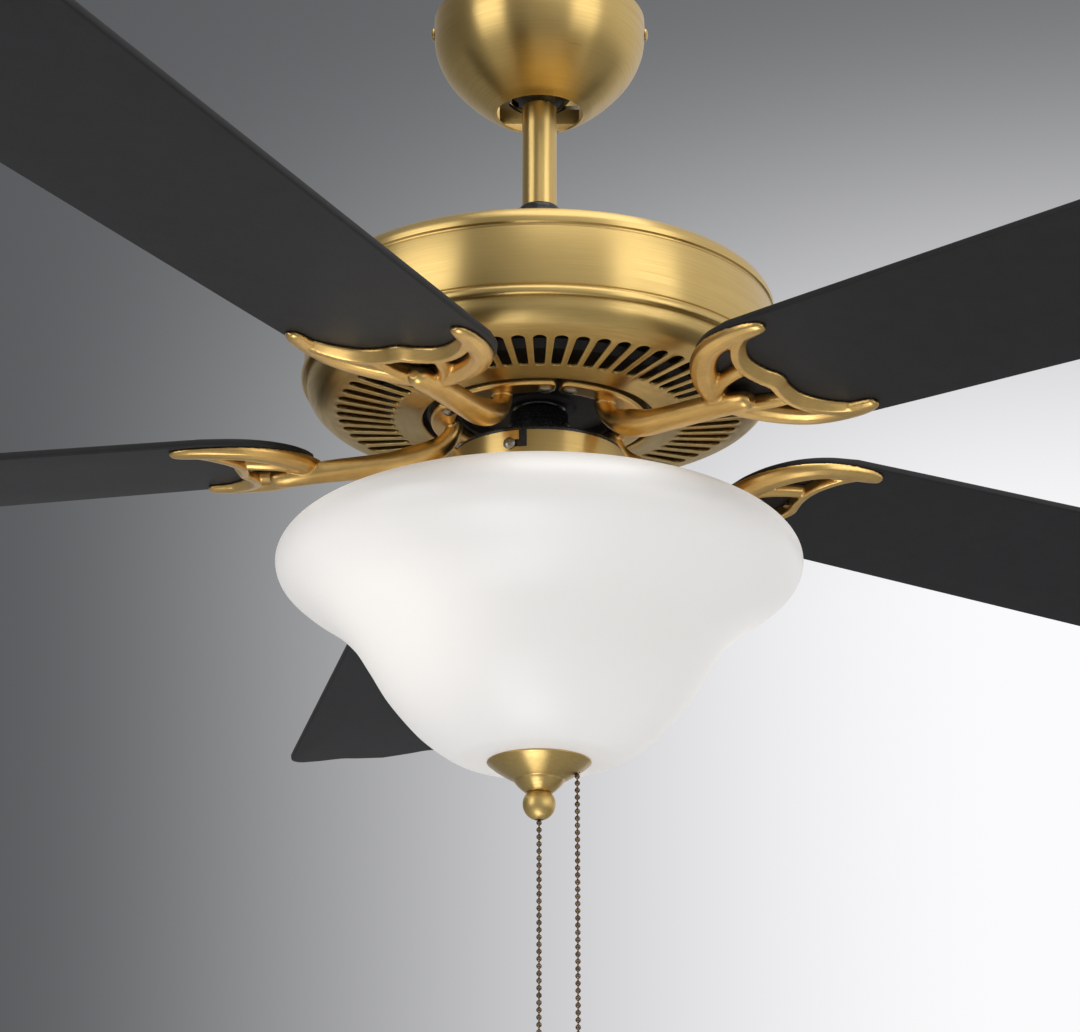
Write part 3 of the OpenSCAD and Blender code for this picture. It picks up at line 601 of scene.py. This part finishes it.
def vent_sector(count, corner, side, low, high):
    """One slot's share of the pan, between two radii. Its rows lie from the share's edge,
    straight to the slot's outline, over the slot's rolled rim and back along the upper face;
    its columns go round. A point's height is the cone's height at its radius, plus the
    row's lift."""
    half = 180 / count
    slot = np.vstack([
        arc((117.9, 0), 3.9, -88, 88, corner)[:-1],
        np.linspace((118.0, 3.9), (90.0, 2.9), side + 1)[:-1],
        arc((90, 0), 2.9, 92, 268, corner)[:-1],
        np.linspace((90.0, -2.9), (118.0, -3.9), side + 1)[:-1],
    ])
    edge = np.vstack([
        arc((0, 0), high, -half, half, corner)[:-1],
        np.linspace(arc((0, 0), high, half, half, 1)[0], arc((0, 0), low, half, half, 1)[0],
                    side + 1)[:-1],
        arc((0, 0), low, half, -half, corner)[:-1],
        np.linspace(arc((0, 0), low, -half, -half, 1)[0], arc((0, 0), high, -half, -half, 1)[0],
                    side + 1)[:-1],
    ])
    spine = np.stack([np.clip(slot[:, 0], 91, 117), np.zeros(len(slot))], 1)
    out = unit(slot - spine)
    rows, lifts = [], []
    for grow, lift in ((None, 0), (0.8, 0.0), (0.42, -0.12), (0.1, 0.05), (0, 0.4), (0, 1.25)):
        rows.append(edge if grow is None else slot + grow * out)
        lifts.append(lift)
    rows.append(edge)
    lifts.append(1.2)
    flat = np.array(rows)
    radius = np.hypot(flat[..., 0], flat[..., 1])
    cone = 21.4 + 4.9 * (radius - low) / (high - low)
    z = cone + np.array(lifts)[:, None]
    return np.concatenate([flat, z[..., None]], -1)


class FAN_OT_lower_pan(FanTool, bpy.types.Operator):
    """Lower pan with its ring of vent slots"""

    bl_idname = "ceiling_fan.lower_pan"
    bl_label = "Lower pan"

    def execute(self, context):
        count = context.scene.fan_sizes.slots
        low, high, corner, side = 84.0, 124.5, 8, 10
        sector = vent_sector(count, corner, side, low, high)
        turns = np.arange(count)[:, None, None] * 2 * np.pi / count
        x, y = sector[..., 0], sector[..., 1]
        everywhere = np.stack(
            [x * np.cos(turns) - y * np.sin(turns), x * np.sin(turns) + y * np.cos(turns),
             np.broadcast_to(sector[..., 2], (count, *x.shape))], -1)
        face = grid_faces(len(sector), sector.shape[1])
        starts = np.arange(count)[:, None, None] * sector.shape[0] * sector.shape[1]
        slots = (everywhere.reshape(-1, 3), (face[None] + starts).reshape(-1, 4))
        shoulder = smooth_line([(139.7, 48), (139.8, 40.5), (138.4, 34.8), (133.6, 29.4),
                                (128.6, 27.3), (high, 26.3)], 7)
        back = beside(shoulder, -1.2)[::-1]
        back[0] = (high, 27.5)
        outer = np.vstack([back, shoulder])
        mouth = smooth_line([(low, 21.4), (78, 20.75), (73.4, 20.3), (71.2, 20.5), (70.2, 21.4),
                             (70.1, 22.6), (71.2, 23.2)], 5)
        inner = np.vstack([mouth, [(76, 22.2), (low, 22.6)]])
        half = 180 / count
        rings = [moved(turned(line, count * corner, closed=False), lambda p: swung(p, half))
                 for line in (outer, inner)]
        make_piece("pan_shell", [slots, *rings], material("pan"), "fan_frame", ["lower_pan"],
                   sharp=40, mend=True)
        return {"FINISHED"}


RIDGED = np.array([(-1, 0), (-1, -0.3), (-0.84, -0.68), (-0.4, -0.94), (0, -1), (0.4, -0.94),
                   (0.84, -0.68), (1, -0.3), (1, 0)])
BEVELLED = np.array([(-1, 0), (-1, -0.22), (-0.2, -0.9), (-0.05, -1), (0.8, -1), (0.96, -0.88),
                     (1, -0.5), (1, 0)])
OVAL = arc((0, 0), 1, 0, 345, 23)


def iron_bars():
    """The open bracket's bars in the flat blade's plane. Each is a section and rows of
    (outward, sideways, half width, depth) along the bar."""
    horn = [(141, -2, 8.2, 10.2), (141.6, 5, 8.1, 9.8), (144.6, 16, 8, 8.8),
            (150.6, 26.6, 7.8, 8), (160, 37.6, 7.4, 7.2), (172, 46, 6.8, 6.6),
            (186, 50, 6.8, 5.8), (199, 51.3, 6.6, 5), (207, 51.2, 5.6, 4.4),
            (211.4, 50.5, 4.2, 3.6), (213.4, 50.1, 2.2, 2.4)]
    strut = [(143, 6, 5, 9), (149, 11.2, 4.4, 8.6), (157, 15.6, 4, 8), (167, 18.6, 4, 7.4),
             (177.4, 20.2, 4.2, 6.6)]
    cross = [(204, 50.4, 3, 3.8), (196.6, 47.6, 3.8, 4.8), (189.4, 42.6, 4.3, 5.8),
             (183.8, 36, 4.4, 6.6), (179.8, 28.6, 4.2, 7.2), (178, 19.6, 4, 7.6),
             (179.2, 8.8, 4, 7.6), (181.2, 2.2, 4.5, 7.4)]
    turned_over = [1, -1, 1, 1]
    bars = [(BEVELLED, cross + [tuple(np.multiply(row, turned_over)) for row in cross[::-1]])]
    for bar in (horn, strut):
        bars += [(RIDGED, bar), (RIDGED, np.multiply(bar, turned_over))]
    return bars


def iron_shape():
    """One blade iron's parts: the carried bars, the arm and the foot, for melted() to join as a
    casting.
    """
    parts = []
    for section, rows in iron_bars():
        line = smooth_line(rows, 6)
        path = np.column_stack([line[:, 0], line[:, 1] + 1, np.full(len(line), -0.1)])
        parts.append(moved(carried(path, line[:, 2], line[:, 3], section), pitched))
    # outward, height, half width and depth along the arm
    arm = smooth_line([(51.2, 22.6, 5.8, 5.2), (51.4, 18.6, 5.8, 5.2), (53.4, 13.6, 6.1, 5.6),
                       (57.6, 8.8, 6.4, 6), (63.8, 4.8, 7.7, 7.2), (71.4, 1.6, 8.6, 8.1),
                       (80, -1, 8.9, 8.1), (88.6, -2.6, 8.7, 7.5), (98.7, -3.4, 8.5, 7.1),
                       (111, -4.2, 8.2, 7), (124, -5, 7.9, 6.9), (137, -5.9, 7.6, 6.8),
                       (148, -7, 7.4, 6.7), (155, -7.9, 7, 6.3), (160.6, -8.3, 5.8, 5.3),
                       (163.4, -8.4, 3.2, 3)], 5)
    path = np.column_stack([arm[:, 0], np.full(len(arm), 0.8), arm[:, 1]])
    parts.append(carried(path, arm[:, 2], arm[:, 3], OVAL))
    turn = np.radians(np.linspace(-34.6, 34.6, 49))
    foot = np.stack([58 * np.cos(turn), 58 * np.sin(turn), np.full(49, 22.1)], 1)
    ends = np.minimum(1, (1 - np.abs(np.linspace(-1, 1, 49))) * 12)
    block = np.array([(-1, 1), (-1, -0.55), (-0.82, -1), (0.82, -1), (1, -0.55), (1, 1)])
    parts.append(carried(foot, 7.5 * (0.55 + 0.45 * np.sqrt(ends)), np.full(49, 3.0), block))
    return parts


def melted(parts, grain):
    """The overlapping closed parts as one skin: a voxel remesh, eased by a smoothing."""
    points = np.concatenate([p for p, _ in parts]) * MM
    starts = np.cumsum([0] + [len(p) for p, _ in parts[:-1]])
    faces = np.concatenate([f + s for (_, f), s in zip(parts, starts)])
    mesh = bpy.data.meshes.new("melt")
    mesh.from_pydata(points.tolist(), [], faces.tolist())
    temp = bpy.data.objects.new("melt", mesh)
    bpy.context.scene.collection.objects.link(temp)
    remesh = temp.modifiers.new("skin", "REMESH")
    remesh.mode = "VOXEL"
    remesh.voxel_size = grain * MM
    ease = temp.modifiers.new("ease", "SMOOTH")
    ease.factor = EASING
    ease.iterations = 2
    done = bpy.data.meshes.new_from_object(
        temp.evaluated_get(bpy.context.evaluated_depsgraph_get()))
    bpy.data.objects.remove(temp)
    return done


class FAN_OT_irons(FanTool, bpy.types.Operator):
    """Cast blade irons: curved foot, dropped arm and open bracket"""

    bl_idname = "ceiling_fan.irons"
    bl_label = "Blade irons"

    def execute(self, context):
        skin = melted(iron_shape(), IRON_GRAIN)
        if not len(skin.vertices):
            raise RuntimeError("The iron's skin came out empty")
        flat = np.empty(len(skin.vertices) * 3)
        skin.vertices.foreach_get("co", flat)
        points = flat.reshape(-1, 3) / MM
        for i in range(1, BLADES + 1):
            mesh = skin.copy()
            mesh.vertices.foreach_set("co", put_down(swung(points, blade_turn(i))).ravel())
            mesh.materials.clear()
            place_mesh(f"iron_casting_{i}", mesh, material("cast"), "rotor",
                       [f"blade_iron_{i}"], sharp=60)
        bpy.data.meshes.remove(skin)
        return {"FINISHED"}


def blade_outline():
    """The blade's edge, once round: a rounded root, straight sides that spread towards the
    tip, rounded corners and a gently waved end."""
    s = bpy.context.scene.fan_sizes
    root, tip = s.blade_root / 2 / MM, s.blade_tip / 2 / MM
    end, corner = s.sweep / MM - 8, 14
    half = np.vstack([
        smooth_line([(137, 0), (139.4, 14), (146, 30), (157.5, 44.5), (173, 54.5),
                     (192, root - 0.6)], 6),
        np.linspace((200, root), (end - corner - 6, tip - 0.2), 12)[1:],
        arc((end - corner, tip - corner), corner, 85, 12, 10),
        smooth_line([(end + 0.4, tip - 24), (end - 0.6, tip - 42), (end + 3, 22),
                     (end + 8, 0)], 7),
    ])
    other = half[::-1][1:-1] * [1, -1]
    return np.vstack([half, other]) + [0, 2.3]


class FAN_OT_blades(FanTool, bpy.types.Operator):
    """Black blades with eased edges"""

    bl_idname = "ceiling_fan.blades"
    bl_label = "Blades"

    def execute(self, context):
        thick = context.scene.fan_sizes.blade_thickness / MM
        line = blade_outline()
        around = np.vstack([line[-1:], line, line[:1]])
        t = unit(np.gradient(around, axis=0)[1:-1])
        inward = np.stack([t[:, 1], -t[:, 0]], 1)
        rows = []
        for inset, height in ((1.6, 0), (0.9, 0.06), (0.3, 0.35), (0, 0.95), (0, thick - 0.95),
                              (0.3, thick - 0.35), (0.9, thick - 0.06), (1.6, thick)):
            rows.append(np.column_stack([line + inset * inward, np.full(len(line), height)]))
        middle = np.array([400.0, 2.3])
        for share in (0.55, 0.0):
            for k, height in ((0, 0.0), (-1, thick)):
                flat = middle + (line + 1.6 * inward - middle) * share
                row = np.column_stack([flat, np.full(len(line), height)])
                rows.insert(0, row) if k == 0 else rows.append(row)
        grid = np.array(rows)
        shape = outward(grid.reshape(-1, 3), grid_faces(len(grid), len(line)))
        for i in range(1, BLADES + 1):
            placed = moved(shape, lambda p: swung(pitched(p), blade_turn(i)))
            make_piece(f"blade_board_{i}", [placed], material("blade"), "rotor", [f"blade_{i}"],
                       sharp=50)
        return {"FINISHED"}


class FAN_OT_bowl(FanTool, bpy.types.Operator):
    """Glass bowl with a rounded shoulder"""

    bl_idname = "ceiling_fan.bowl"
    bl_label = "Glass bowl"

    def execute(self, context):
        wall = 4.0
        outer = smooth_line([(100, -38.5), (120, -43.5), (138, -50.5), (150, -59),
                             (155.4, -69.5), (152.6, -81), (142, -91.5), (125, -103.5),
                             (110.5, -117.5), (100, -133.5), (89.5, -150.5), (75, -168),
                             (66, -176.3), (57.5, -182.7), (50, -187), (45, -188.8),
                             (38, -189.6), (31, -189.7), (25.5, -189.7)], 8)
        inner = beside(outer, -wall)[::-1]
        inner = inner[(inner[:, 0] > 26)]
        hole = np.array([(25.5, -185.7)])
        lip = np.array([(99.3, -36.6)])
        make_piece("bowl_glass", [turned(np.vstack([outer, hole, inner, lip]), 300)],
                   material("glass"), "fan_frame", ["glass_bowl"], sharp=55)
        return {"FINISHED"}


class FAN_OT_finial(FanTool, bpy.types.Operator):
    """Conical finial cap and its ball"""

    bl_idname = "ceiling_fan.finial"
    bl_label = "Finial"

    def execute(self, context):
        r = 30.3
        dish = smooth_line([(r - 1.3, -189.75), (r - 0.5, -189.7), (r, -190.1), (r - 0.1, -190.6),
                            (r - 0.9, -191.3), (26, -194), (21, -197.3), (17, -199.6),
                            (15, -200.5)], 5)
        step = smooth_line([(14.7, -200.9), (14.1, -202), (12.4, -204.1), (10.2, -206.2),
                            (8.4, -207.6), (7.7, -208)], 5)
        back = np.array([(4.8, -208), (4.8, -205.2), (8, -205.2), (12.4, -201.2),
                         (14.4, -199.2), (22.4, -194.5)])
        make_piece("finial_dish", [turned(np.vstack([dish, step, back]), 200)],
                   material("finial"), "fan_frame", ["finial_cap"], sharp=30)
        ball = 9.5
        around = arc((0, -214.8), ball, -76, 45.6, 26)
        neck = np.array([(4.8, -208.01), (4.8, -211.8), (2.3, -211.8), (2.3, -223.9)])
        make_piece("finial_knob", [turned(np.vstack([around, neck]), 120)], material("knob"),
                   "fan_frame", ["finial_ball"], sharp=38)
        return {"FINISHED"}


def bead_chain(x, start, length, bead, pitch):
    """A chain hanging straight down: the radius along it follows each bead's circle, and the
    thin link where no bead is wider. Returns the surface and its centreline."""
    count = int(length // pitch)
    spans = np.array([0, 0.08, 0.16, 0.28, 0.39, 0.5, 0.61, 0.72, 0.84, 0.92])
    along = ((np.arange(count)[:, None] + spans) * pitch).ravel()
    along = np.append(along, length)
    offset = (along % pitch) - pitch / 2
    ball = np.sqrt(np.maximum((bead / 2) ** 2 - offset**2, 0))
    radius = np.maximum(ball, 0.42)
    a = np.arange(10) * 2 * np.pi / 10
    ring = np.stack([np.cos(a), np.sin(a), np.zeros(10)], 1)
    path = np.stack([np.full(len(along), x), np.zeros(len(along)), start - along], 1)
    rings = path[:, None] + radius[:, None, None] * ring
    ends = [np.repeat(path[k][None, None], 10, 1) for k in (0, -1)]
    grid = np.concatenate([ends[0], rings, ends[1]])
    return outward(grid.reshape(-1, 3), grid_faces(len(grid), 10)), path


class FAN_OT_chains(FanTool, bpy.types.Operator):
    """The two bead pull chains and their bell weights"""

    bl_idname = "ceiling_fan.chains"
    bl_label = "Pull chains"

    def execute(self, context):
        s = context.scene.fan_sizes
        length = s.chain / MM
        for name, body, (x, start) in (("fan", "fan_pull", FAN_CHAIN_TOP),
                                       ("light", "light_pull", LIGHT_CHAIN_TOP)):
            shape, path = bead_chain(x, start, length, s.bead / MM, s.bead_pitch / MM)
            chain = make_piece(f"{name}_bead_chain", [shape], material("bronze"), body,
                               [f"{name}_chain"], sharp=60)
            low = start - length
            bell = np.vstack([
                [(0, low), (1.7, low), (2, low - 2.4)],
                smooth_line([(2.1, low - 2.5), (3.4, low - 5), (5, low - 11), (5.6, low - 17),
                             (4.4, low - 22), (1.8, low - 23.8)], 6),
                [(0, low - 24)]])
            p, f = turned(bell, 64, closed=False)
            fob = make_piece(f"{name}_chain_bell", [outward(p, f)], material("finial"), body,
                             [f"{name}_chain_fob"], sharp=38)
            put_down(path[0])
            put_down(path)
        return {"FINISHED"}


class FAN_OT_finishes(FanTool, bpy.types.Operator):
    """Gives every CAD piece that still shows its own finish"""

    bl_idname = "ceiling_fan.finishes"
    bl_label = "Other finishes"

    def execute(self, context):
        own = {"iron_screws": "screw", "switch_cup_screws": "screw", "blade_screws": "screw",
               "rotor_base": "rotor", "rotor_cover": "rotor"}
        for entry in frame["record"]["subparts"]:
            node = frame["nodes"][entry["node"]]
            name = own.get(entry["node"], CAD_FINISHES[entry["material_slot"]])
            node.data.materials.clear()
            node.data.materials.append(material(name))
        return {"FINISHED"}


# ---- Stage ----


def stage_material(name, colour):
    """Pale matt paper with a faint tooth."""
    f = Finish(name)
    tooth = f.noise((6, 6, 6), detail=2.0)
    f.colour(f.blend(f.ranged(tooth, 0, 1), shade(colour, 0.99), shade(colour, 1.01)))
    f.set(Roughness=0.9)
    return f.material


def soft_lamp(name, place, aim, size, power, colour=(1, 1, 1)):
    data = bpy.data.lights.new(name, "AREA")
    data.shape = "RECTANGLE"
    data.size, data.size_y = size
    data.energy = power
    data.color = colour
    lamp = bpy.data.objects.new(name, data)
    lamp.location = place
    lamp.rotation_euler = (Vector(aim) - Vector(place)).to_track_quat("-Z", "Y").to_euler()
    bpy.context.scene.collection.objects.link(lamp)
    return lamp


class FAN_OT_stage(FanTool, bpy.types.Operator):
    """Camera, soft lamps, pale floor, and a backdrop with painted shade where the camera sees it"""

    bl_idname = "ceiling_fan.stage"
    bl_label = "Stage"

    def execute(self, context):
        scene = context.scene
        data = bpy.data.cameras.new("camera")
        data.sensor_width = 36
        data.lens = CAMERA_LENS
        data.clip_end = 60
        camera = bpy.data.objects.new("camera", data)
        forward = Vector(CAMERA_FORWARD).normalized()
        right = Vector(CAMERA_RIGHT).normalized()
        up = right.cross(forward).normalized()
        right = forward.cross(up)
        turn = Matrix((right, up, -forward)).transposed().to_4x4()
        camera.matrix_world = Matrix.Translation(CAMERA_PLACE) @ turn
        scene.collection.objects.link(camera)
        scene.camera = camera

        floor = bpy.data.meshes.new("floor")
        floor.from_pydata([(-9, -9, -2.3), (9, -9, -2.3), (9, 9, -2.3), (-9, 9, -2.3)], [],
                          [(0, 1, 2, 3)])
        floor.materials.append(stage_material("Floor paper", scene.fan_colours.backdrop))
        ground = bpy.data.objects.new("floor", floor)
        scene.collection.objects.link(ground)
        lamps = [
            soft_lamp("key", (-1.95, -1.4, 0.1), LAMP_AIM, (1.4, 2.0), 20),
            soft_lamp("fill", (1.8, -1.55, 0.0), LAMP_AIM, (1.3, 2.0), 13.5),
            soft_lamp("under", (-0.2, -0.3, -2.2), (0, 0, -0.4), (0.8, 1.4), 12),
            soft_lamp("top", (0.3, -0.6, 1.4), (0, 0, -0.2), (1.6, 1.6), 16),
        ]

        world = bpy.data.worlds.new("studio")
        scene.world = world
        world.use_nodes = True
        tree = world.node_tree
        tree.nodes.clear()
        link = tree.links.new

        def ranged(source, start, end, low=0.0, high=1.0):
            r = tree.nodes.new("ShaderNodeMapRange")
            r.interpolation_type = "SMOOTHSTEP"
            for slot, value in zip(("From Min", "From Max", "To Min", "To Max"),
                                   (start, end, low, high)):
                r.inputs[slot].default_value = value
            link(source, r.inputs["Value"])
            return r.outputs[0]

        def joined(operation, a, b):
            m = tree.nodes.new("ShaderNodeMath")
            m.operation = operation
            link(a, m.inputs[0])
            link(b, m.inputs[1])
            return m.outputs[0]

        split = tree.nodes.new("ShaderNodeSeparateXYZ")
        link(tree.nodes.new("ShaderNodeTexCoord").outputs["Generated"], split.inputs[0])
        rays = tree.nodes.new("ShaderNodeLightPath")
        seen = rays.outputs["Is Camera Ray"]
        # Painted shade on the backdrop, for camera rays only: dark on the left, pale on the right and
        # dark towards the top. Other rays see a gentle left-to-right gradient that lights the scene.
        camera_backdrop_shade = joined("MULTIPLY", ranged(split.outputs["X"], -0.19, 0.165),
                      ranged(split.outputs["Z"], 0.3, 0.5, 1.0, 0.08))
        pick = tree.nodes.new("ShaderNodeMix")
        link(seen, pick.inputs[0])
        link(ranged(split.outputs["X"], -1.5, 1.5), pick.inputs[2])
        link(camera_backdrop_shade, pick.inputs[3])
        mix = tree.nodes.new("ShaderNodeMix")
        mix.data_type = "RGBA"
        link(pick.outputs[0], mix.inputs[0])
        # The dark end is the painted shade of the backdrop's left side, and the dim side of the
        # world's light.
        mix.inputs[6].default_value = (0.1, 0.104, 0.11, 1)
        mix.inputs[7].default_value = (0.965, 0.965, 0.98, 1)
        back = tree.nodes.new("ShaderNodeBackground")
        link(mix.outputs[2], back.inputs["Color"])
        lit = joined("MAXIMUM", seen, rays.outputs["Is Glossy Ray"])
        link(ranged(lit, 0.0, 1.0, 0.8, 1.0), back.inputs["Strength"])
        link(back.outputs[0], tree.nodes.new("ShaderNodeOutputWorld").inputs[0])
        scene.view_settings.view_transform = "Standard"
        return {"FINISHED"}


STEPS = (
    FAN_OT_hanging, FAN_OT_drum, FAN_OT_lower_pan, FAN_OT_irons, FAN_OT_blades, FAN_OT_bowl,
    FAN_OT_finial, FAN_OT_chains, FAN_OT_finishes, FAN_OT_stage,
)


class FAN_PT_sidebar(bpy.types.Panel):
    """Lists the fan's steps and settings"""

    bl_idname = "FAN_PT_sidebar"
    bl_label = "Ceiling fan"
    bl_space_type = "VIEW_3D"
    bl_region_type = "UI"
    bl_category = "Ceiling fan"

    def draw(self, context):
        for group in (context.scene.fan_sizes, context.scene.fan_colours):
            box = self.layout.box()
            for name in group.__annotations__:
                box.prop(group, name)
        for step in STEPS:
            self.layout.operator(step.bl_idname)


CLASSES = (FanSizes, FanColours, *STEPS, FAN_PT_sidebar)


def register():
    for each in CLASSES:
        bpy.utils.register_class(each)
    bpy.types.Scene.fan_sizes = PointerProperty(type=FanSizes)
    bpy.types.Scene.fan_colours = PointerProperty(type=FanColours)


def unregister():
    del bpy.types.Scene.fan_sizes
    del bpy.types.Scene.fan_colours
    for each in reversed(CLASSES):
        bpy.utils.unregister_class(each)


def main():
    register()
    for step in STEPS:
        group, name = step.bl_idname.split(".")
        getattr(getattr(bpy.ops, group), name)()


if __name__ == "__main__":
    main()
